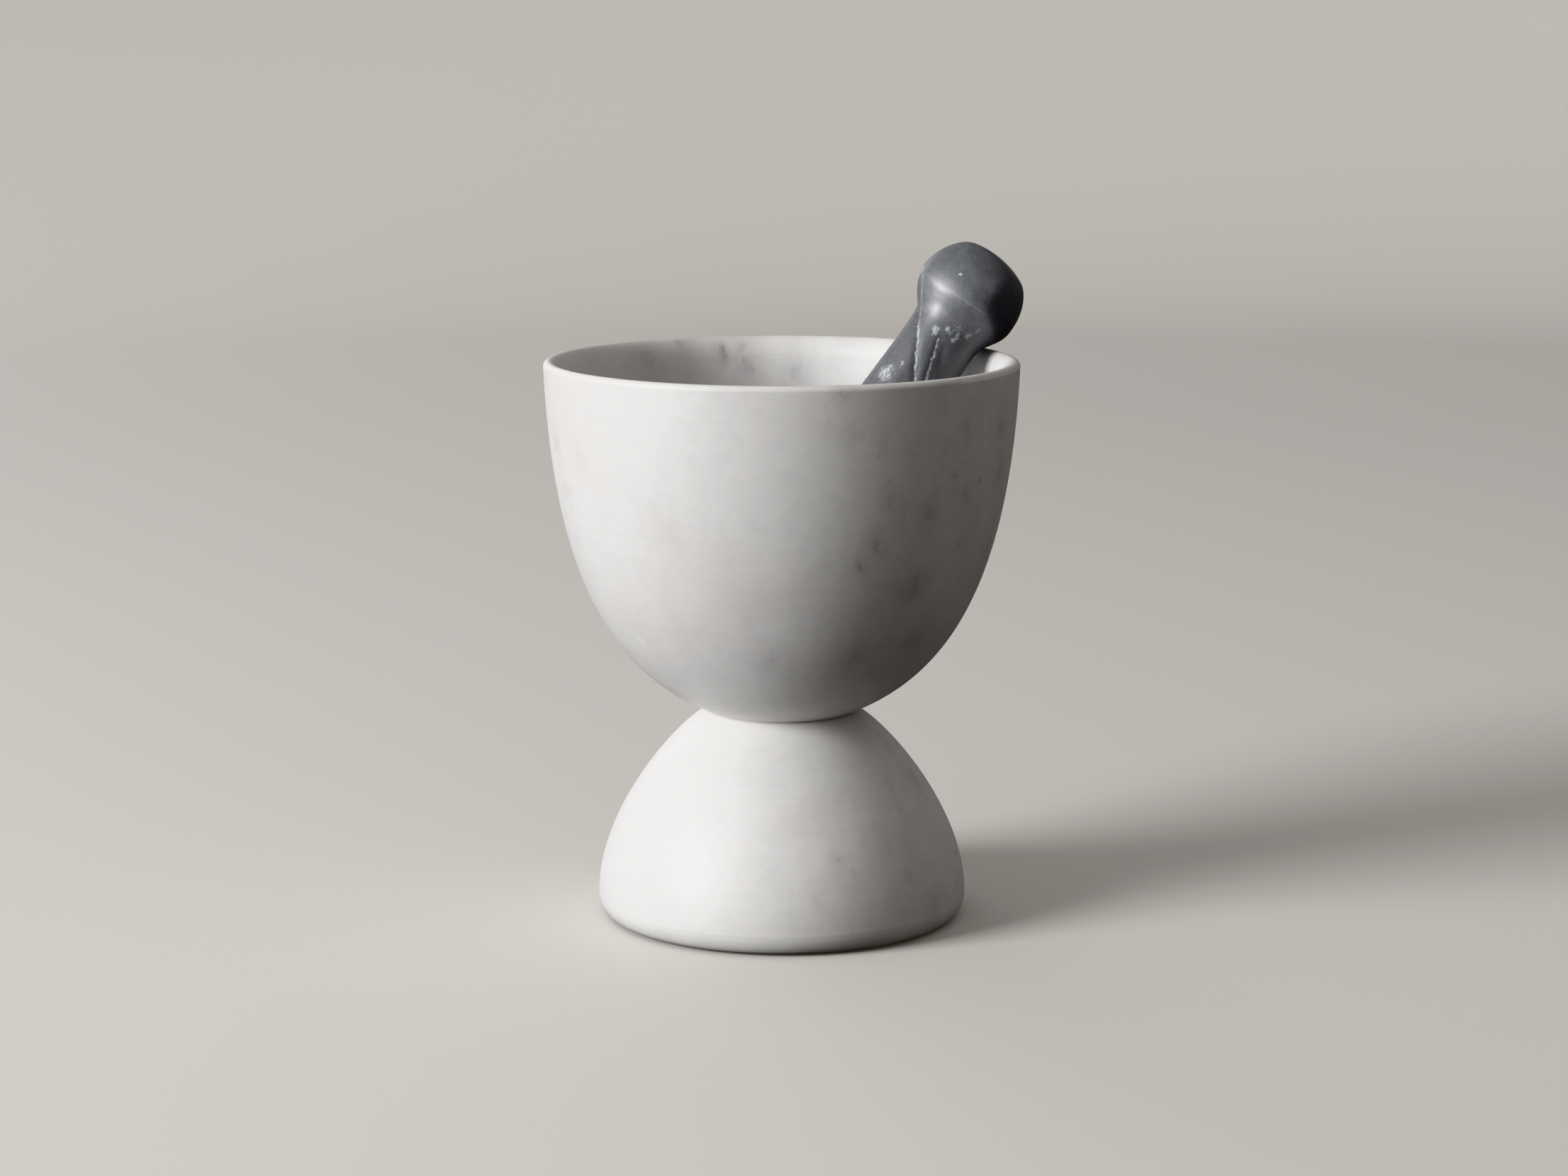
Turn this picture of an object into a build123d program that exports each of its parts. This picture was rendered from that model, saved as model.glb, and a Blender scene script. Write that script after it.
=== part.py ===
from build123d import *
import os

# A footed stone mortar with a loose stone pestle leaning in it.
# Millimetres, +Z up. The origin is on the mortar's axis, on the surface that the mortar stands on.
# Outlines are drawn as (distance from the axis, height) and turned round the axis.

# Mortar, outside
rim_radius = 95.0
rim_height = 226.4          # top of the lip above the table
waist_height = 84.5         # where bowl and foot meet
waist_radius = 29.9
underside_reach = 31.5      # the bowl leaves the waist this far out ...
underside_rise = 13.1       # ... while it climbs this much
wall_lean = 3.6             # the wall stands almost upright below the lip ...
wall_drop = 97.0            # ... and turns in from this far below it
lip_edge_radius = 2.2       # small round on the outside of the lip

# Mortar, inside
lip_width = 8.0             # thickness of the wall just below the lip
lip_roll_width = 5.4        # the inside of the lip rolls over by this much ...
lip_roll_depth = 9.0        # ... over this depth
inner_wall_lean = 3.0       # the inner wall stands almost upright ...
inner_wall_drop = 74.0      # ... and turns in from this far below the lip's roll
floor_thickness = 22.0      # stone between the waist and the cavity floor
dish_reach = 50.0           # how far out the cavity floor stays shallow

# Foot
foot_radius = 74.7
foot_edge_height = 8.0      # from the flat underside up to the foot's widest circle
foot_edge_reach = 5.0       # the underside's edge lies this far inside the widest circle
neck_reach = 10.1           # the foot leaves the waist this far out ...
neck_fall = 3.0             # ... while it drops this much
skirt_rise = 34.1           # the side stays steep this far above its widest circle

round_handle = 0.55         # handle that makes a quarter of an ellipse from one curve

# Felt pads under the foot
pad_count = 4
pad_radius = 11.0
pad_thickness = 1.0
pad_circle_radius = 50.0
first_pad_angle = 45.0

# Joint at the waist: a dowel set in resin
resin_film = 0.4            # between the two ground faces
resin_setback = 0.6         # the film ends this far inside the crease
resin_sleeve = 0.5          # round the dowel and over its upper end
dowel_radius = 6.0
dowel_in_bowl = 12.0
dowel_in_foot = 32.0
dowel_chamfer = 1.0
groove_depth = 0.6          # ring grooves that key the dowel in the resin
groove_width = 1.6
groove_heights = (6.0, -8.0, -16.0, -24.0)  # above the waist

# Pestle, measured along its own axis from the centre of its grinding ball
ball_radius = 23.0
shoulder_ease = 20.0        # length over which the ball's side runs into the shaft
shaft_start = 58.0          # the straight part of the shaft
shaft_radius_low = 16.2
shaft_radius_high = 15.0
knob_height = 152.0         # the knob's widest circle
knob_radius = 22.9
flare_length = 20.3         # from the end of the shaft to the knob's widest circle
flare_ease = 9.0            # length over which the flare starts and ends
crown_height = 21.7         # the knob's crown above its widest circle
crown_ease_up = 13.0
crown_ease_in = 14.2

# How the pestle lies in the mortar
pestle_azimuth = 26.0       # towards +Y from +X
ball_offset = 12.0          # the ball stands this far from the axis, away from the lip it leans on
rest_gap = 0.3              # clearance between the pestle and the mortar
halvings = 24               # narrows a lean or a height to far less than a micrometre


def turned(outline):
    """The solid that a half section makes round the Z axis."""
    return revolve(Plane.XZ * outline, Axis.Z)


def cylinder_between(radius, bottom, top):
    """An upright cylinder on the mortar's axis."""
    return Pos(0, 0, bottom) * Cylinder(radius, top - bottom, align=(Align.CENTER, Align.CENTER, Align.MIN))


def bowl_section():
    """Half section of the bowl: its outside, lip, inside, and the ground face at the waist."""
    bottom = waist_height + resin_film / 2
    floor = waist_height + floor_thickness
    edge_start = rim_height - lip_edge_radius
    inner_radius = rim_radius - lip_width
    roll_bottom = rim_height - lip_roll_depth
    outside = Bezier(
        (waist_radius, bottom),
        (waist_radius + underside_reach, bottom + underside_rise),
        (rim_radius - wall_lean, edge_start - wall_drop),
        (rim_radius, edge_start),
    )
    lip_edge = RadiusArc(outside @ 1, (rim_radius - lip_edge_radius, rim_height), -lip_edge_radius)
    roll_start = (inner_radius + lip_roll_width, rim_height)
    lip_top = Line(lip_edge @ 1, roll_start)
    lip_roll = Bezier(
        roll_start,
        (inner_radius + lip_roll_width / 2, rim_height),
        (inner_radius, rim_height - lip_roll_depth / 2),
        (inner_radius, roll_bottom),
    )
    inside = Bezier(
        (inner_radius, roll_bottom),
        (inner_radius - inner_wall_lean, roll_bottom - inner_wall_drop),
        (dish_reach, floor),
        (0, floor),
    )
    waist_face = Polyline((0, floor), (0, bottom), (waist_radius, bottom))
    return make_face([outside, lip_edge, lip_top, lip_roll, inside, waist_face])


def mortar_bowl():
    """The bowl, with a blind hole in its ground face for the dowel."""
    hole_top = waist_height + dowel_in_bowl + resin_sleeve
    return turned(bowl_section()) - cylinder_between(dowel_radius + resin_sleeve, waist_height, hole_top)


def mortar_foot():
    """The domed foot, with a blind hole in its top for the dowel."""
    top = waist_height - resin_film / 2
    bottom = pad_thickness
    widest = bottom + foot_edge_height
    side = Bezier(
        (waist_radius, top),
        (waist_radius + neck_reach, top - neck_fall),
        (foot_radius, widest + skirt_rise),
        (foot_radius, widest),
    )
    underside_radius = foot_radius - foot_edge_reach
    edge = Bezier(
        (foot_radius, widest),
        (foot_radius, widest - foot_edge_height * round_handle),
        (underside_radius + foot_edge_reach * (1 - round_handle), bottom),
        (underside_radius, bottom),
    )
    flat = Polyline((underside_radius, bottom), (0, bottom), (0, top), (waist_radius, top))
    foot = turned(make_face([side, edge, flat]))
    return foot - cylinder_between(dowel_radius + resin_sleeve, waist_height - dowel_in_foot, waist_height)


def waist_dowel():
    """A steel dowel across the waist, standing on the bottom of the foot's hole."""
    bottom = waist_height - dowel_in_foot
    dowel = cylinder_between(dowel_radius, bottom, waist_height + dowel_in_bowl)
    dowel = chamfer(dowel.edges(), dowel_chamfer)
    for height in groove_heights:
        low = waist_height + height - groove_width / 2
        ring = cylinder_between(dowel_radius + groove_depth, low, low + groove_width)
        dowel -= ring - cylinder_between(dowel_radius - groove_depth, low, low + groove_width)
    return dowel


def joint_resin():
    """The cured resin: a film between the ground faces, and all the room round the dowel."""
    half_film = resin_film / 2
    film = cylinder_between(waist_radius - resin_setback, waist_height - half_film, waist_height + half_film)
    hole_top = waist_height + dowel_in_bowl + resin_sleeve
    sleeve = cylinder_between(dowel_radius + resin_sleeve, waist_height - dowel_in_foot, hole_top)
    return film + sleeve - waist_dowel()


def foot_pad(index):
    """One thin felt disc on the foot's underside."""
    place = Rot(0, 0, first_pad_angle + index * 360 / pad_count) * Pos(pad_circle_radius, 0, 0)
    return place * cylinder_between(pad_radius, 0, pad_thickness)


def pestle_section():
    """Half section of the pestle, upright, with the centre of its grinding ball at the origin."""
    shaft_end = knob_height - flare_length
    crown = knob_height + crown_height
    ball = RadiusArc((0, -ball_radius), (ball_radius, 0), -ball_radius)
    shoulder = Bezier(
        (ball_radius, 0),
        (ball_radius, shoulder_ease),
        (shaft_radius_low, shaft_start - shoulder_ease),
        (shaft_radius_low, shaft_start),
    )
    shaft = Line((shaft_radius_low, shaft_start), (shaft_radius_high, shaft_end))
    flare = Bezier(
        (shaft_radius_high, shaft_end),
        (shaft_radius_high, shaft_end + flare_ease),
        (knob_radius, knob_height - flare_ease),
        (knob_radius, knob_height),
    )
    top = Bezier(
        (knob_radius, knob_height),
        (knob_radius, knob_height + crown_ease_up),
        (crown_ease_in, crown),
        (0, crown),
    )
    axis = Line((0, crown), (0, -ball_radius))
    return make_face([ball, shoulder, shaft, flare, top, axis])


def settled(clearance_at, low, high):
    """The value between low and high from which clearance_at is at least the rest gap."""
    for _ in range(halvings):
        middle = (low + high) / 2
        if clearance_at(middle) < rest_gap:
            low = middle
        else:
            high = middle
    return high


def pestle_rest():
    """Height of the ball's centre and lean of the axis, once the pestle stands and leans in the bowl."""
    bowl = bowl_section()
    ball = Circle(ball_radius)
    floor = waist_height + floor_thickness
    height = settled(lambda z: (Pos(ball_offset, z) * ball).distance_to(bowl), floor, rim_height)
    half = pestle_section()
    whole = half + mirror(half, Plane.YZ)
    stand = Pos(-ball_offset, height)
    lean = settled(lambda tilt: (stand * Rot(0, 0, tilt - 90) * whole).distance_to(bowl), 30, 85)
    return height, lean


def pestle():
    """The pestle, standing on the cavity floor and leaning on the lip."""
    height, lean = pestle_rest()
    print(f"the pestle's ball centre is {height:.2f} up and its axis leans at {lean:.2f} degrees")
    place = Rot(0, 0, pestle_azimuth) * Pos(-ball_offset, 0, height) * Rot(0, 90 - lean, 0)
    return place * turned(pestle_section())


parts = {
    "mortar_bowl": mortar_bowl(),
    "mortar_foot": mortar_foot(),
    "waist_dowel": waist_dowel(),
    "joint_resin": joint_resin(),
    "pestle": pestle(),
}
for index in range(pad_count):
    parts[f"foot_pad_{index + 1}"] = foot_pad(index)

os.makedirs("parts", exist_ok=True)
for name, shape in parts.items():
    export_step(shape, f"parts/{name}.step")
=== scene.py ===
from math import cos, radians, sin

import bpy
import numpy as np
from mathutils import Matrix, Vector


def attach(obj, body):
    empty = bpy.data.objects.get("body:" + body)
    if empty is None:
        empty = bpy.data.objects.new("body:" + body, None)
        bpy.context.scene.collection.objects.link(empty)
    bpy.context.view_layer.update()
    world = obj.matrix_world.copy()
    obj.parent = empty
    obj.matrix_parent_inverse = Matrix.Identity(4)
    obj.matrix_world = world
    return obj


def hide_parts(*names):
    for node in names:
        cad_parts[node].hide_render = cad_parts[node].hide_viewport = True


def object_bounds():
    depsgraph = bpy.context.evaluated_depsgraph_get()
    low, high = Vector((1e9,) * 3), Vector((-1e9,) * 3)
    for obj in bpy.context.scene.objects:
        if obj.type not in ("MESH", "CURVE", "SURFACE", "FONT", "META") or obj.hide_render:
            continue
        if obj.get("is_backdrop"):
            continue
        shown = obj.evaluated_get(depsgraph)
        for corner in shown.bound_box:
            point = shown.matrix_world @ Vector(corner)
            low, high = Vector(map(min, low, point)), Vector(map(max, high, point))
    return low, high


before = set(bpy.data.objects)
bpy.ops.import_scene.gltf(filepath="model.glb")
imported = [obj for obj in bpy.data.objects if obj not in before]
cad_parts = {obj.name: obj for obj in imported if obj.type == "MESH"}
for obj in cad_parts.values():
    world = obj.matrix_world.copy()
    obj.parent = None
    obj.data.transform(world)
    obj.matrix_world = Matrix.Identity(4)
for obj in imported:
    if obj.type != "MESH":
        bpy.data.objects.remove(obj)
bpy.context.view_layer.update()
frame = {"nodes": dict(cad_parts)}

# A marble mortar turned in two stones, and a hand-dressed pestle of dark stone. Blender works in metres;
# the sizes below are in millimetres, and MM turns them into metres.
MM = 0.001

# Camera: where a person who sits at the table sees the mortar from.
CAMERA_AWAY = 1382.2
CAMERA_UP = 377.4
CAMERA_DOWN = 10.0          # degrees below the horizon
CAMERA_RIGHT = 0.9
CAMERA_LENS = 79.86
SENSOR_WIDTH = 36.0

# Studio: a round cove. Its floor turns up into a wall a long way behind the object.
COVE_RADIUS = 3200
COVE_BEND = 900
COVE_HEIGHT = 3000
COVE_SIDES = 96
COVE_FLAT_RINGS = (0.25, 0.5, 0.75)     # as shares of the flat floor's radius
COVE_BEND_RINGS = 13
COVE_COLOUR = (0.82, 0.79, 0.75)
COVE_ROUGHNESS = 0.85
# Square lights outside the cove, which casts no shadow: degrees from the front towards the right, distance
# from the axis, height above the floor, width, power in watts. Sheen shines on the dark stone only.
LIGHTS = {
    "key": (-62, 4200, 1485, 1890, 236),
    "back": (-150, 4500, 1500, 2400, 22),
    "sheen": (-62, 4200, 1485, 2360, 170),
}
SKY_ABOVE = (0.355, 0.345, 0.335)
SKY_BELOW = (0.018, 0.015, 0.012)

# Marble, white with grey veining that gathers on its right side.
MARBLE_COLOUR = (0.805, 0.797, 0.788)
MARBLE_CLOUD = (0.68, 0.675, 0.668)
MARBLE_WARM = (0.79, 0.748, 0.735)
MARBLE_SMUDGE = (0.34, 0.335, 0.335)
MARBLE_LINES = (0.62, 0.615, 0.61)
MARBLE_GRAIN = (0.62, 0.61, 0.60)
# white of the painted glints and of the chips
MARBLE_WHITE = (0.95, 0.95, 0.95)
MARBLE_GLOW = (1.0, 0.85, 0.7)          # how far red, green and blue light spread in it, in proportion
MARBLE_GLOW_DEPTH = 3
VEINED_SIDE = (50.0, 130.0)             # distance to the right over which the veining sets in ...
VEINED_WANDER = 120.0                   # ... after clouds have moved that distance by as much as this
# Smudges and chips: (degrees from the front towards the right, height, size across, strength).
SMUDGE_STRETCH = 1.4                    # how much taller than wide a smudge is
SMUDGE_HALO = (1.3, 0.45)               # reach as a share of the smudge's size, and share of its strength
SMUDGE_CORE = (0.4, 0.55)
WALL_SMUDGES = [
    (14, 223, 6, 0.35), (16, 209, 7, 0.30), (49, 208, 8, 0.30), (66, 205, 10, 0.35),
    (68, 185, 11, 0.40), (46, 189, 6, 0.30), (51, 179, 10, 0.25), (27, 181, 7, 0.40),
    (39, 175, 8, 0.40), (24, 165, 8, 0.45), (20, 157, 7, 0.50), (38, 144, 10, 0.40),
    (11, 156, 15, 0.14), (-4, 118, 10, 0.28), (23, 118, 9, 0.30), (45, 121, 18, 0.30),
    (-58, 196, 9, 0.18), (-28, 165, 8, 0.12), (-71, 196, 8, 0.30), (-69, 179, 5, 0.30),
]
WALL_CHIPS = [(-51, 121, 3.0, 1.0), (-50.3, 118.5, 2.2, 0.9)]
INSIDE_SMUDGES = [
    (-163, 220, 5, 0.80), (-169, 222, 8, 0.42), (-152, 224, 9, 0.38), (-171, 213, 8, 0.46),
    (176, 211, 9, 0.42), (-140, 220, 14, 0.30),
]
FOOT_SMUDGES = [
    (19, 37, 6, 0.40), (44, 28, 5, 0.45), (24, 59, 10, 0.20), (11, 23, 9, 0.15), (54, 16, 14, 0.22),
    (36, 43, 24, 0.12), (73, 60, 10, 0.25),
]

# Pestle, in its own frame: Z up its axis from the grinding end, X towards its uppermost side. A pair of
# heights is where a mark sets in, with none of it at the first and all of it at the second. With END in
# the name it is where the mark dies away.
RING_STEP = 0.6
RING_POINTS = 220
KNOB_CENTRE = 174.0
KNOB_RADIUS = 22.9
KNOB_SHIFT = 1.6                        # the knob stands this far off the shaft's line ...
KNOB_SHIFT_SIDE = -20                   # ... this way round the axis
KNOB_SHIFT_HEIGHTS = (150, 168)
KNOB_SHIFT_TILT = 9                     # the shift sets in this much lower on the side it goes to
# The knob was rounded in broad strokes: (degrees round the axis, degrees up, radius of the stroke, depth).
KNOB_STROKES = [
    (40, 4, 29, 1.8), (118, -2, 31, 1.0), (228, -6, 31, 1.2), (285, 6, 29, 1.0), (-31, 12, 27, 0.8),
    (87, 82, 39, 1.7), (-25, 60, 90, 0.4),
]
STROKE_HEIGHTS = (152, 166)
STROKE_EDGE = 0.5                       # width over which a stroke's edge is rounded
# Flats along the shaft: (degrees round the axis, depth).
SHAFT_FLATS = [(8, 0.45), (58, 0.5), (104, 0.55), (160, 0.4), (205, 0.5), (262, 0.45), (312, 0.5)]
SHAFT_RADIUS = 15.6
FLAT_START = (60, 85)
FLAT_END = (150, 164)
FLAT_EDGE = 0.35                        # width over which a flat's edge is rounded
# A seam of pale crystals crosses the knob and neck, and the stone on one side of it stands lower. Seams
# and veins are planes: (normal, distance from the frame's origin).
SEAM = ((-0.696, 0.494, 0.521), 70.9)
SEAM_DROP = 1.3
SEAM_WIDTH = 0.6                        # distance over which the stone steps down
SEAM_FADE = 7.0                         # distance from the seam over which the low side rises again
SEAM_HEIGHTS = (146, 160)
SEAM_SHADE = (-8, -0.6)                 # painted shade: the low side is darker from here, measured from the seam ...
SEAM_SHADE_END = (0.1, -0.3)            # ... to here
SEAM_HIGHLIGHT = (0.4, 0.45)                 # painted highlight along the seam's step: its distance from the seam, its half width
# A second seam runs down the front of the neck, and a hair-thin vein crosses the front of the knob.
NECK_SEAM = ((-0.900, 0.312, 0.305), 43.4)
NECK_SEAM_FRONT = (6, 10)               # along Y
HAIR_VEIN = ((0.145, 0.271, 0.952), 166.1)
HAIR_FRONT = (11, 17)                   # along Y
HAIR_SIDE = (-6, 4)                     # along X
HAIR_HEIGHTS = (152, 158)
# Flutes down the front of the neck: (plane, depth, half width).
FLUTES = [(SEAM, 0.5, 1.5), (NECK_SEAM, 0.5, 1.5), (((-0.890, 0.167, 0.425), 62.0), 1.0, 2.6)]
FLUTE_SHADE = 2.2                       # half width of a flute's painted shade, as a share of the flute's own
FLUTE_START = (60, 105)
FLUTE_END = (143, 156)
FLUTE_SIDE = 70                         # degrees round the axis of the side that is fluted ...
FLUTE_FRONT = (2, 9)                    # ... and the distances that way between which the flutes set in
# Chalky patches: (middle, size across, strength). The smallest is a fleck with a firmer edge.
CHALK = [
    ((14.0, 5.5, 127), 20, 1.0), ((12.5, 9.0, 133), 10, 0.8), ((15.3, 0.0, 137), 12, 0.55),
    ((15.0, 2.5, 142), 10, 0.5), ((9.5, 11.6, 152.5), 10, 1.0), ((6.3, 13.7, 155.5), 9, 1.0),
    ((2.0, 15.0, 154), 10, 1.0), ((-1.5, 15.6, 158), 10, 1.0), ((-3.4, 16.6, 162), 7, 0.9),
    ((4.0, 14.6, 157), 18, 0.65), ((16.6, 13.4, 175.6), 3.2, 1.25),
]
FLECK_SIZE = 4
# Dark stone. Its neck is darker and duller than its knob.
STONE_DARK = (0.056, 0.060, 0.069)
STONE_LIGHT = (0.094, 0.100, 0.113)
STONE_NECK = (0.030, 0.032, 0.038)
# colour of the painted shade in the flutes and on the seam's low side
STONE_SHADE = (0.024, 0.026, 0.031)
STONE_GRAIN = (0.28, 0.295, 0.32)
STONE_RUBBED = (0.27, 0.28, 0.30)
# colour of the painted highlight along the seam's step
STONE_HIGHLIGHT = (0.52, 0.54, 0.57)
STONE_HAIR = (0.55, 0.56, 0.58)
STONE_CRYSTAL = (0.46, 0.48, 0.51)
NECK_HEIGHTS = (156, 148)               # where the neck's seams and shade set in, downwards
NECK_DARK_HEIGHTS = (162, 142)
NECK_DULL_HEIGHTS = (162, 146)

# The hidden pieces' materials.
STEEL_BRIGHT = (0.55, 0.54, 0.53)
STEEL_BROWN = (0.36, 0.29, 0.23)
RESIN_HONEY = (0.66, 0.60, 0.46)
RESIN_PALE = (0.80, 0.76, 0.66)
RESIN_BUBBLE = (0.90, 0.88, 0.82)
FELT_DARK = (0.16, 0.155, 0.145)
FELT_MIDDLE = (0.36, 0.345, 0.325)
FELT_PALE = (0.42, 0.40, 0.375)

# Sockets of Blender's Mix node when it mixes colours.
MIX_SHARE, MIX_FIRST, MIX_SECOND = 0, 6, 7
MIX_RESULT = 2


def on_circle(side, away, up):
    """A point given by its direction from the front, its distance from the axis and its height."""
    return Vector((away * sin(radians(side)), -away * cos(radians(side)), up)) * MM


def make_camera():
    data = bpy.data.cameras.new("camera")
    data.lens = CAMERA_LENS
    data.sensor_width = SENSOR_WIDTH
    camera = bpy.data.objects.new("camera", data)
    camera.location = Vector((CAMERA_RIGHT, -CAMERA_AWAY, CAMERA_UP)) * MM
    camera.rotation_euler = (radians(90 - CAMERA_DOWN), 0, 0)
    bpy.context.collection.objects.link(camera)
    bpy.context.scene.camera = camera


class Tree:
    """One material, with short calls for its nodes. Lengths in it are millimetres."""

    def __init__(self, name):
        self.material = bpy.data.materials.new(name)
        self.material.use_nodes = True
        self.nodes = self.material.node_tree.nodes
        self.links = self.material.node_tree.links
        self.shader = self.nodes["Principled BSDF"]

    def node(self, kind, inputs=(), **settings):
        made = self.nodes.new("ShaderNode" + kind)
        for key, value in settings.items():
            setattr(made, key, value)
        for key, value in dict(inputs).items():
            self.set(made.inputs[key], value)
        return made

    def set(self, socket, value):
        if isinstance(value, bpy.types.NodeSocket):
            self.links.new(value, socket)
        elif socket.type == "RGBA":
            socket.default_value = (*value, 1)
        else:
            socket.default_value = value

    def surface(self, **values):
        for key, value in values.items():
            self.set(self.shader.inputs[key.replace("_", " ")], value)

    def place(self, frame_of=Matrix.Identity(4), stretch=(1, 1, 1)):
        """Where a surface point is, in millimetres, in the frame given."""
        point = self.node("TexCoord").outputs["Object"]
        local = self.node("Mapping", {
            "Vector": point,
            "Location": frame_of.to_translation(),
            "Rotation": frame_of.to_euler(),
            "Scale": [MM * share for share in stretch],
        }, vector_type="TEXTURE")
        return local.outputs[0]

    def noise(self, point, size, detail=2.0, roughness=0.5, distortion=0.0):
        """Clouds from 0 to 1. Size is that of the largest ones, detail the number of finer layers."""
        return self.node("TexNoise", {
            "Vector": point,
            "Scale": 1 / size,
            "Detail": detail,
            "Roughness": roughness,
            "Distortion": distortion,
        }).outputs[0]

    def grains(self, point, size):
        """Distance to the nearest of many scattered points, as a share of their spacing."""
        return self.node("TexVoronoi", {"Vector": point, "Scale": 1 / size}).outputs["Distance"]

    def warped(self, point, size, amount):
        """The same point, moved about a little so that nothing drawn by distance has a clean edge."""
        cloud = self.node("TexNoise", {"Vector": point, "Scale": 1 / size, "Detail": 3.0}).outputs["Color"]
        middle = self.node("VectorMath", {0: cloud, 1: (0.5, 0.5, 0.5)}, operation="SUBTRACT").outputs[0]
        move = self.node("VectorMath", {0: middle, "Scale": 2.0 * amount}, operation="SCALE").outputs[0]
        return self.node("VectorMath", {0: point, 1: move}, operation="ADD").outputs[0]

    def step(self, value, start, end, low=0.0, high=1.0):
        """Runs smoothly from low to high as value goes from start to end."""
        return self.node("MapRange", {
            "Value": value, "From Min": start, "From Max": end, "To Min": low, "To Max": high,
        }, interpolation_type="SMOOTHSTEP").outputs[0]

    def math(self, operation, a, b):
        return self.node("Math", {0: a, 1: b}, operation=operation).outputs[0]

    def plus(self, a, b):
        return self.math("ADD", a, b)

    def times(self, product, *factors):
        for factor in factors:
            product = self.math("MULTIPLY", product, factor)
        return product

    def most(self, a, b):
        return self.math("MAXIMUM", a, b)

    def layered(self, colour, *layers):
        """A colour with others laid over it in turn. A layer is (how much it covers, its colour)."""
        for share, over in layers:
            mixed = self.node("Mix", data_type="RGBA")
            for index, value in ((MIX_SHARE, share), (MIX_FIRST, colour), (MIX_SECOND, over)):
                self.set(mixed.inputs[index], value)
            colour = mixed.outputs[MIX_RESULT]
        return colour

    def height(self, *layers):
        """Bump from (value, depth in millimetres) layers."""
        total = 0.0
        for value, depth in layers:
            total = self.plus(self.times(value, depth * MM), total)
        bump = self.node("Bump", {"Height": total, "Distance": 1.0, "Strength": 1.0})
        self.set(self.shader.inputs["Normal"], bump.outputs[0])

    def axis_part(self, point, name):
        return self.node("SeparateXYZ", {0: point}).outputs[name]

    def distance(self, point, centre):
        return self.node("VectorMath", {0: point, 1: centre}, operation="DISTANCE").outputs["Value"]

    def beyond_plane(self, point, normal, offset):
        """How far a point is on the side of a plane that its normal shows."""
        along = self.node("VectorMath", {0: point, 1: normal}, operation="DOT_PRODUCT").outputs["Value"]
        return self.math("SUBTRACT", along, offset)

    def near_plane(self, point, normal, offset, reach):
        """1 on a plane and 0 from that reach away."""
        return self.step(self.math("ABSOLUTE", self.beyond_plane(point, normal, offset), 0.0), reach, 0.0)


def smudge_field(tree, node, smudges, inside=False):
    """Soft spots, each laid on the surface of a turned node where its direction and height say."""
    upright = tree.place(stretch=(1, 1, SMUDGE_STRETCH))
    soft = tree.warped(tree.warped(upright, size=9.0, amount=4.0), size=2.5, amount=1.6)
    total = 0.0
    for side, up, size, strength in smudges:
        out = on_circle(side, 1, 0).normalized()
        start = Vector((0, 0, up * MM))
        if not inside:
            start += out
            out = -out
        place = node.ray_cast(start, out)[1] / MM
        place.z /= SMUDGE_STRETCH
        away = tree.distance(soft, place)
        halo, core = (
            tree.step(away, reach * size, 0.0, high=share) for reach, share in (SMUDGE_HALO, SMUDGE_CORE)
        )
        total = tree.most(tree.times(tree.plus(halo, core), strength), total)
    return total


def marble_grey(tree, node, point, veined, smudge_lists):
    """How grey marble is: haze and specks where it is veined, and the smudges of each (list, inside)."""
    clouds = tree.warped(tree.place(stretch=(1, 1, 1.8)), size=12, amount=6)
    haze = tree.step(tree.noise(clouds, size=13, detail=5, roughness=0.65), 0.50, 0.80, high=0.22)
    specks = tree.grains(tree.warped(point, size=4, amount=1.6), size=15.0)
    grey = tree.times(tree.most(haze, tree.step(specks, 0.13, 0.02, high=0.34)), veined)
    for smudges, inside in smudge_lists:
        grey = tree.most(grey, smudge_field(tree, node, smudges, inside))
    mottling = tree.noise(point, size=1.4, detail=4, roughness=0.7)
    return tree.times(grey, tree.step(mottling, 0.30, 0.60, low=0.55, high=1.25))


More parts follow.
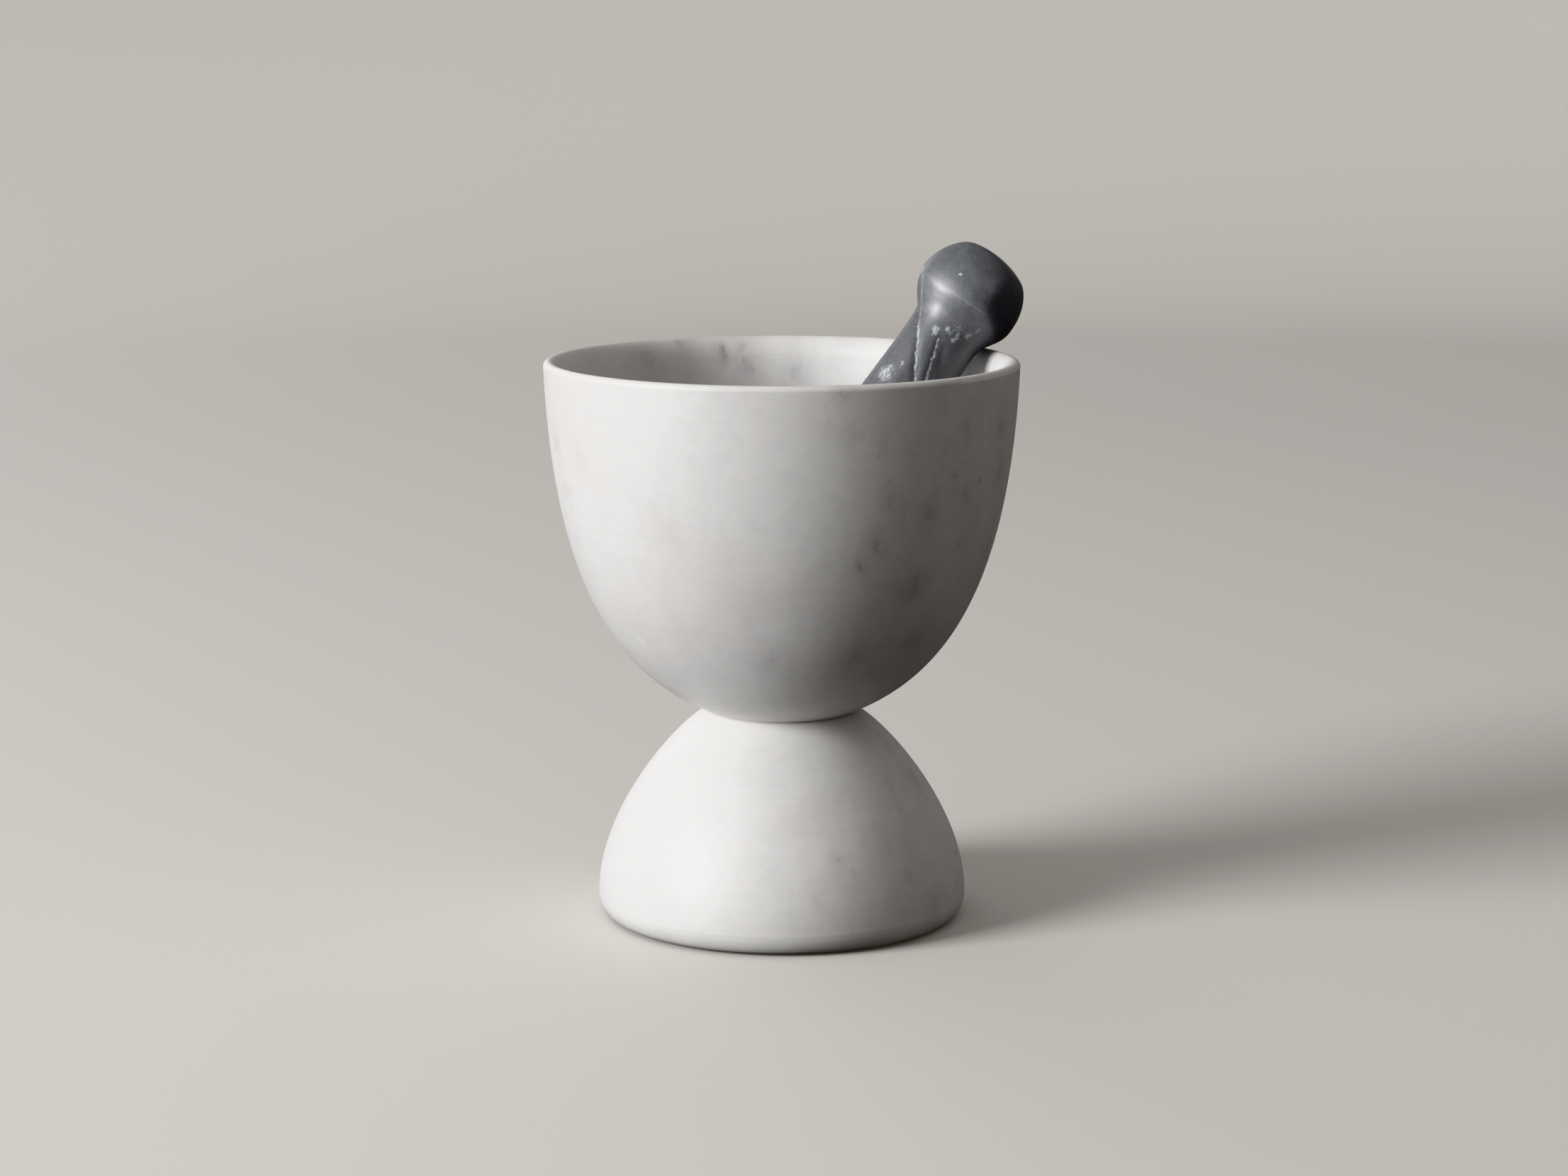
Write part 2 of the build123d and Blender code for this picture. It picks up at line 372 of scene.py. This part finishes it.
def marble(name, node, smudge_lists, chips=()):
    """Honed white marble: sugary grain, faint clouds, soft grey smudges, painted glints as small white
    specks, and chips where the list says.
    """
    tree = Tree(name)
    point = tree.place()
    wander = tree.times(tree.noise(point, size=60, detail=3), VEINED_WANDER)
    veined = tree.step(tree.plus(tree.axis_part(point, "X"), wander), *VEINED_SIDE)
    warm = tree.step(tree.noise(point, size=70, detail=3), 0.48, 0.70)
    clouds = tree.noise(tree.warped(point, size=30, amount=8), size=34, detail=5, roughness=0.6)
    cloud = tree.times(tree.step(clouds, 0.46, 0.78), tree.step(veined, 0.0, 1.0, low=0.45, high=0.80))
    milk = tree.noise(tree.warped(point, size=10, amount=4), size=8, detail=6, roughness=0.68)
    grain = tree.noise(point, size=0.45, detail=2, roughness=0.7)
    lines = tree.noise(tree.place(stretch=(70, 70, 1)), size=1.2, detail=3, roughness=0.6)
    # painted glints: small white specks standing in for crystals that catch the light
    glint = tree.step(tree.grains(point, size=1.7), 0.16, 0.05)
    white = tree.most(tree.times(glint, 0.35), smudge_field(tree, node, chips))
    colour = tree.layered(
        MARBLE_COLOUR,
        (tree.times(warm, 0.65), MARBLE_WARM),
        (cloud, MARBLE_CLOUD),
        (tree.step(milk, 0.40, 0.72, high=0.32), MARBLE_CLOUD),
        (marble_grey(tree, node, point, veined, smudge_lists), MARBLE_SMUDGE),
        (tree.step(lines, 0.45, 0.70, high=0.09), MARBLE_LINES),
        (tree.step(grain, 0.40, 0.70, high=0.22), MARBLE_GRAIN),
        (white, MARBLE_WHITE),
    )
    tree.surface(
        Base_Color=colour,
        Roughness=tree.step(grain, 0.3, 0.7, low=0.50, high=0.40),
        Subsurface_Weight=0.12,
        Subsurface_Radius=MARBLE_GLOW,
        Subsurface_Scale=MARBLE_GLOW_DEPTH * MM,
    )
    tree.height((grain, 0.012), (lines, 0.008), (tree.noise(point, size=6, detail=3), 0.05))
    return tree.material


def pale_crystals(tree, place, point, soft, neck):
    """Where crystals show: along the two seams and in the chalky patches, drawn out along the axis."""
    ragged = tree.warped(point, size=5.0, amount=2.4)
    seam = tree.times(tree.near_plane(soft, *SEAM, reach=1.3), tree.step(neck, 0, 1, low=0.15))
    in_front = tree.step(tree.axis_part(point, "Y"), *NECK_SEAM_FRONT)
    field = tree.most(seam, tree.times(tree.near_plane(soft, *NECK_SEAM, reach=1.6), neck, in_front))
    for middle, size, strength in CHALK:
        away = tree.distance(soft if size < FLECK_SIZE else ragged, middle)
        field = tree.most(field, tree.times(tree.step(away, size / 2, 0.0), strength))
    crystals = tree.noise(tree.place(place, stretch=(1, 1, 2.2)), size=0.9, detail=5, roughness=0.8)
    return tree.step(tree.plus(crystals, tree.times(field, 0.45)), 0.76, 1.02)


def hollow_shade(tree, soft, neck):
    """Painted shade: where the stone is coloured darker, in the flutes and on the low side of the seam
    close to it.
    """
    shade = 0.0
    for plane, _, half_width in FLUTES:
        shade = tree.most(shade, tree.near_plane(soft, *plane, reach=FLUTE_SHADE * half_width))
    beyond = tree.beyond_plane(soft, *SEAM)
    low_side = tree.times(tree.step(beyond, *SEAM_SHADE), tree.step(beyond, *SEAM_SHADE_END))
    return tree.most(tree.times(shade, neck, 0.75), tree.times(low_side, 0.6))


def seam_highlight(tree, point):
    """Painted highlight along the edge of the seam's high side, where the step catches the light, pale
    only in places.
    """
    normal, offset = SEAM
    away, half_width = SEAM_HIGHLIGHT
    edge = tree.times(tree.near_plane(point, normal, offset + away, reach=half_width), 0.3)
    return tree.times(edge, tree.step(tree.noise(point, size=2.2, detail=4, roughness=0.8), 0.38, 0.58))


def hair_vein(tree, point, height):
    """A fine pale line, seen only across the front of the knob and fainter in places."""
    hair = tree.near_plane(tree.warped(point, size=8, amount=0.5), *HAIR_VEIN, reach=0.2)
    in_front = tree.times(
        tree.step(tree.axis_part(point, "Y"), *HAIR_FRONT),
        tree.step(tree.axis_part(point, "X"), *HAIR_SIDE),
    )
    faint = tree.step(tree.noise(point, size=2.0, detail=3), 0.35, 0.60, low=0.06, high=0.30)
    return tree.times(hair, in_front, tree.step(height, *HAIR_HEIGHTS), faint)


def dark_stone(place):
    """Charcoal stone: pale grain, chalky patches and seams of pale crystals in a hand-rubbed surface."""
    tree = Tree("dark_stone")
    point = tree.place(place)
    soft = tree.warped(point, size=4.0, amount=0.9)
    height = tree.axis_part(point, "Z")
    neck = tree.step(height, *NECK_HEIGHTS)
    mottle = tree.noise(tree.warped(point, size=12, amount=5), size=9, detail=5, roughness=0.62)
    grain = tree.noise(point, size=0.30, detail=2, roughness=0.75)
    rubbed = tree.noise(tree.place(place, stretch=(1, 5, 1)), size=0.5, detail=2, roughness=0.6)
    pale = pale_crystals(tree, place, point, soft, neck)
    colour = tree.layered(
        STONE_DARK,
        (tree.step(mottle, 0.36, 0.70), STONE_LIGHT),
        (tree.step(height, *NECK_DARK_HEIGHTS, high=0.80), STONE_NECK),
        # painted shade in the flutes and beside the seam
        (hollow_shade(tree, soft, neck), STONE_SHADE),
        (tree.step(grain, 0.44, 0.80, high=0.42), STONE_GRAIN),
        (tree.step(rubbed, 0.52, 0.75, high=0.20), STONE_RUBBED),
        # painted highlight where the seam's step catches the light
        (seam_highlight(tree, point), STONE_HIGHLIGHT),
        (hair_vein(tree, point, height), STONE_HAIR),
        (tree.times(pale, 0.8), STONE_CRYSTAL),
    )
    rough = tree.plus(tree.step(grain, 0.3, 0.7, low=0.42, high=0.56), tree.times(pale, 0.25))
    tree.surface(
        Base_Color=colour,
        Roughness=tree.plus(rough, tree.step(height, *NECK_DULL_HEIGHTS, high=0.14)),
        Specular_IOR_Level=1.0,
        Coat_Weight=0.35,
        Coat_Roughness=0.5,
    )
    tree.height((grain, 0.015), (tree.noise(point, size=2.5, detail=3), 0.05), (pale, 0.08))
    return tree.material


def brushed_steel():
    """Ground steel bar: fine rings round it and a slight brown bloom."""
    tree = Tree("dowel_steel")
    rings = tree.noise(tree.place(stretch=(40, 40, 1)), size=0.25, detail=2, roughness=0.6)
    bloom = tree.step(tree.noise(tree.place(), size=5, detail=4, roughness=0.6), 0.50, 0.75)
    tree.surface(
        Base_Color=tree.layered(STEEL_BRIGHT, (tree.times(bloom, 0.5), STEEL_BROWN)),
        Metallic=1.0,
        Roughness=tree.step(rings, 0.3, 0.7, low=0.24, high=0.42),
    )
    tree.height((rings, 0.01))
    return tree.material


def cured_resin():
    """Honey-white epoxy with small bubbles."""
    tree = Tree("cured_resin")
    point = tree.place()
    flow = tree.noise(point, size=6, detail=3, distortion=1.0)
    bubble = tree.step(tree.grains(point, size=2.2), 0.18, 0.08)
    tree.surface(
        Base_Color=tree.layered(
            RESIN_HONEY,
            (tree.step(flow, 0.35, 0.7), RESIN_PALE),
            (tree.times(bubble, 0.5), RESIN_BUBBLE),
        ),
        Roughness=tree.step(flow, 0.3, 0.7, low=0.16, high=0.30),
    )
    tree.height((bubble, -0.04), (flow, 0.05))
    return tree.material


def felt():
    """Pressed grey wool felt: tangled fibres with lighter and darker ones among them."""
    tree = Tree("pad_felt")
    point = tree.place()
    fibres = tree.warped(point, size=1.2, amount=0.9)
    tangle = tree.noise(fibres, size=0.5, detail=4, roughness=0.7, distortion=1.5)
    tufts = tree.noise(point, size=2.4, detail=3, roughness=0.6)
    tree.surface(
        Base_Color=tree.layered(
            FELT_DARK,
            (tree.step(tangle, 0.32, 0.68), FELT_MIDDLE),
            (tree.step(tufts, 0.55, 0.8, high=0.5), FELT_PALE),
        ),
        Roughness=0.95,
        Sheen_Weight=0.5,
        Sheen_Roughness=0.6,
    )
    tree.height((tangle, 0.25), (tufts, 0.20))
    return tree.material


def turned_place(node):
    """The frame of a turned CAD node: Z up its axis from its lower end, X towards its uppermost side."""
    mesh = node.data
    centres = np.empty(len(mesh.polygons) * 3)
    areas = np.empty(len(mesh.polygons))
    mesh.polygons.foreach_get("center", centres)
    mesh.polygons.foreach_get("area", areas)
    centres = centres.reshape(-1, 3)
    middle = areas @ centres / areas.sum()
    spread = (centres - middle).T @ ((centres - middle) * areas[:, None])
    axis = Vector(np.linalg.eigh(spread)[1][:, -1])
    if axis.z < 0:
        axis.negate()
    lowest = min((vertex.co - Vector(middle)).dot(axis) for vertex in mesh.vertices)
    side = (Vector((0, 0, 1)) - axis * axis.z).normalized()
    turn = Matrix((side, axis.cross(side), axis)).transposed().to_4x4()
    return Matrix.Translation(Vector(middle) + axis * lowest) @ turn


def turned_outline(node, place):
    """Points (distance from the axis, height) up the outline of a turned CAD node, about RING_STEP apart.

    The rings of the node's mesh give corners, and a smooth curve is laid through those.
    """
    inverse = place.inverted()
    local = np.array([inverse @ vertex.co for vertex in node.data.vertices]) / MM
    heights = local[:, 2].round(1)      # the points of a ring agree to a tenth of a millimetre
    levels = np.unique(heights)
    radii = np.array([np.hypot(*local[heights == level, :2].T).max() for level in levels])
    exact = np.array([local[heights == level, 2].mean() for level in levels])
    points = np.column_stack((radii, exact))
    points[0, 0] = points[-1, 0] = 0.0
    run = np.concatenate(([0.0], np.cumsum(np.hypot(*np.diff(points, axis=0).T))))
    slopes = np.gradient(points, run, axis=0)
    slopes[0] = (1, 0)                  # both ends are rounded, so the curve leaves the axis square to it
    slopes[-1] = (-1, 0)
    wanted = np.linspace(0, run[-1], int(run[-1] / RING_STEP))
    index = np.clip(np.searchsorted(run, wanted, side="right") - 1, 0, len(run) - 2)
    length = np.diff(run)[index][:, None]
    t = (wanted - run[index])[:, None] / length
    return (
        (1 + 2 * t) * (1 - t) ** 2 * points[index] + t * (1 - t) ** 2 * length * slopes[index]
        + t ** 2 * (3 - 2 * t) * points[index + 1] + t ** 2 * (t - 1) * length * slopes[index + 1]
    )


def lathe(name, outline, around, closed_top=True, shape=None, place=Matrix.Identity(4)):
    """A smooth mesh from (distance from the axis, height) points, closed by a point at its lower end and,
    with closed_top, by one at its upper end."""
    angles = np.linspace(0, 2 * np.pi, around, endpoint=False)
    points = np.concatenate([
        np.column_stack((radius * np.cos(angles), radius * np.sin(angles), np.full(around, height)))
        for radius, height in outline
    ] + [[(0, 0, outline[0, 1])], [(0, 0, outline[-1, 1])]])
    if shape:
        points = shape(points)
    faces = []
    for ring in range(len(outline) - 1):
        low, high = ring * around, (ring + 1) * around
        for a in range(around):
            b = (a + 1) % around
            faces.append((low + a, low + b, high + b, high + a))
    last = (len(outline) - 1) * around
    bottom, top = len(points) - 2, len(points) - 1
    for a in range(around):
        b = (a + 1) % around
        faces.append((bottom, b, a))
        if closed_top:
            faces.append((top, last + a, last + b))
    if not closed_top:
        points = points[:-1]
    mesh = bpy.data.meshes.new(name)
    turn = np.array(place.to_3x3())
    mesh.from_pydata((points * MM) @ turn.T + np.array(place.to_translation()), [], faces)
    mesh.polygons.foreach_set("use_smooth", np.ones(len(mesh.polygons), bool))
    made = bpy.data.objects.new(name, mesh)
    bpy.context.collection.objects.link(made)
    return made


def rounded(depth, edge):
    """The part of a depth above 0, with its corner rounded over the edge width."""
    return (depth + np.sqrt(depth ** 2 + edge ** 2)) / 2


def polar(side, up=0):
    """A direction by its degrees round the axis and up from the equator."""
    side, up = radians(side), radians(up)
    return np.array((cos(side) * cos(up), sin(side) * cos(up), sin(up)))


def share_between(values, start, end):
    """Runs smoothly from 0 to 1 as the values go from start to end."""
    share = np.clip((values - start) / (end - start), 0, 1)
    return share * share * (3 - 2 * share)


def dress_knob(points):
    """Moves the knob off the shaft's line and takes the broad strokes off it."""
    on_knob = share_between(points[:, 2], *STROKE_HEIGHTS)
    shift = polar(KNOB_SHIFT_SIDE) * KNOB_SHIFT
    facing = points @ polar(KNOB_SHIFT_SIDE) / KNOB_RADIUS
    shifted = share_between(points[:, 2] + KNOB_SHIFT_TILT * facing, *KNOB_SHIFT_HEIGHTS)
    points = points + shift * shifted[:, None]
    for side, up, radius, depth in KNOB_STROKES:
        middle = np.array((0, 0, KNOB_CENTRE)) + shift - polar(side, up) * (radius - KNOB_RADIUS + depth)
        away = points - middle
        length = np.linalg.norm(away, axis=1)
        cut = rounded(length - radius, STROKE_EDGE) * on_knob
        points = points - away * (cut / length)[:, None]
    return points


def dress_shaft(points):
    """Takes the flats off the shaft."""
    on_shaft = share_between(points[:, 2], *FLAT_START) * (1 - share_between(points[:, 2], *FLAT_END))
    for side, depth in SHAFT_FLATS:
        out = polar(side)
        cut = rounded(points @ out - (SHAFT_RADIUS - depth), FLAT_EDGE) * on_shaft
        points = points - out * cut[:, None]
    return points


def dress_seams(points):
    """Lowers the stone on one side of the seam, and cuts the flutes into the front of the neck."""
    height = points[:, 2]
    outward = points - np.column_stack((np.zeros((len(points), 2)), np.minimum(height, KNOB_CENTRE)))
    outward /= np.maximum(np.linalg.norm(outward, axis=1), 1)[:, None]
    beyond = points @ np.array(SEAM[0]) - SEAM[1]
    low_side = (1 - share_between(beyond, -SEAM_WIDTH, 0)) * np.exp(np.minimum(beyond, 0) / SEAM_FADE)
    drop = SEAM_DROP * low_side * share_between(height, *SEAM_HEIGHTS)
    on_neck = share_between(height, *FLUTE_START) * (1 - share_between(height, *FLUTE_END))
    on_neck *= share_between(points @ polar(FLUTE_SIDE), *FLUTE_FRONT)
    for (normal, offset), depth, half_width in FLUTES:
        across = points @ np.array(normal) - offset
        drop += depth * np.exp(-(across / half_width) ** 2) * on_neck
    return points - outward * drop[:, None]


def dress(points):
    """What a hand did to the turned stone, in the pestle's own frame."""
    return dress_seams(dress_shaft(dress_knob(points)))


def make_pestle():
    node = frame["nodes"]["pestle"]
    place = turned_place(node)
    outline = turned_outline(node, place)
    stone = lathe("pestle_stone", outline[1:-1], RING_POINTS, shape=dress, place=place)
    stone.data.materials.append(dark_stone(place))
    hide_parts("pestle")
    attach(stone, "pestle")


def make_cove():
    """The floor and, a long way behind the object, the wall that it turns up into."""
    tree = Tree("cove_paint")
    tree.surface(Base_Color=COVE_COLOUR, Roughness=COVE_ROUGHNESS)
    bend = np.radians(np.linspace(0, 90, COVE_BEND_RINGS))
    flat = COVE_RADIUS - COVE_BEND
    outline = [(flat * share, 0.0) for share in COVE_FLAT_RINGS]
    outline += [(flat + COVE_BEND * np.sin(turn), COVE_BEND * (1 - np.cos(turn))) for turn in bend]
    outline.append((COVE_RADIUS, COVE_HEIGHT))
    floor = lathe("cove", np.array(outline), COVE_SIDES, closed_top=False)
    floor.data.materials.append(tree.material)
    floor.visible_diffuse = False
    floor.visible_glossy = False
    floor.visible_shadow = False
    floor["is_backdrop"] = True


def area_light(name, side, away, up, width, power):
    """A square light that faces the middle of the object."""
    data = bpy.data.lights.new(name, "AREA")
    data.shape = "RECTANGLE"
    data.size = data.size_y = width * MM
    data.energy = power
    light = bpy.data.objects.new(name, data)
    light.location = on_circle(side, away, up)
    middle = sum(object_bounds(), Vector()) / 2
    light.rotation_euler = (middle - light.location).to_track_quat("-Z", "Y").to_euler()
    bpy.context.collection.objects.link(light)
    return light


def make_sky():
    """Soft light from all round, warmer and dimmer from below the object than from above it."""
    world = bpy.data.worlds.new("studio")
    bpy.context.scene.world = world
    world.use_nodes = True
    nodes, links = world.node_tree.nodes, world.node_tree.links
    direction = nodes.new("ShaderNodeTexCoord").outputs["Generated"]
    parts = nodes.new("ShaderNodeSeparateXYZ")
    links.new(direction, parts.inputs[0])
    share = nodes.new("ShaderNodeMapRange")
    share.interpolation_type = "SMOOTHSTEP"
    share.inputs["From Min"].default_value = -1.0
    links.new(parts.outputs["Z"], share.inputs["Value"])
    blend = nodes.new("ShaderNodeMix")
    blend.data_type = "RGBA"
    blend.inputs[MIX_FIRST].default_value = (*SKY_BELOW, 1)
    blend.inputs[MIX_SECOND].default_value = (*SKY_ABOVE, 1)
    links.new(share.outputs[0], blend.inputs[MIX_SHARE])
    links.new(blend.outputs[MIX_RESULT], nodes["Background"].inputs["Color"])


def make_lights():
    make_sky()
    bpy.context.scene.view_settings.view_transform = "Khronos PBR Neutral"
    lights = {name: area_light(name, *settings) for name, settings in LIGHTS.items()}
    lit = bpy.data.collections.new("lit_by_sheen")
    lit.objects.link(bpy.data.objects["pestle_stone"])
    lights["sheen"].light_linking.receiver_collection = lit


def paint_nodes():
    nodes = frame["nodes"]
    bowl, foot = nodes["mortar_bowl"], nodes["mortar_foot"]
    bowl_smudges = [(WALL_SMUDGES, False), (INSIDE_SMUDGES, True)]
    pads = felt()
    looks = {
        "mortar_bowl": marble("bowl_marble", bowl, bowl_smudges, WALL_CHIPS),
        "mortar_foot": marble("foot_marble", foot, [(FOOT_SMUDGES, False)]),
        "waist_dowel": brushed_steel(),
        "joint_resin": cured_resin(),
    }
    looks.update({name: pads for name in nodes if name.startswith("foot_pad")})
    for name, material in looks.items():
        for slot in nodes[name].material_slots:
            slot.material = material


make_camera()
make_cove()
paint_nodes()
make_pestle()
make_lights()
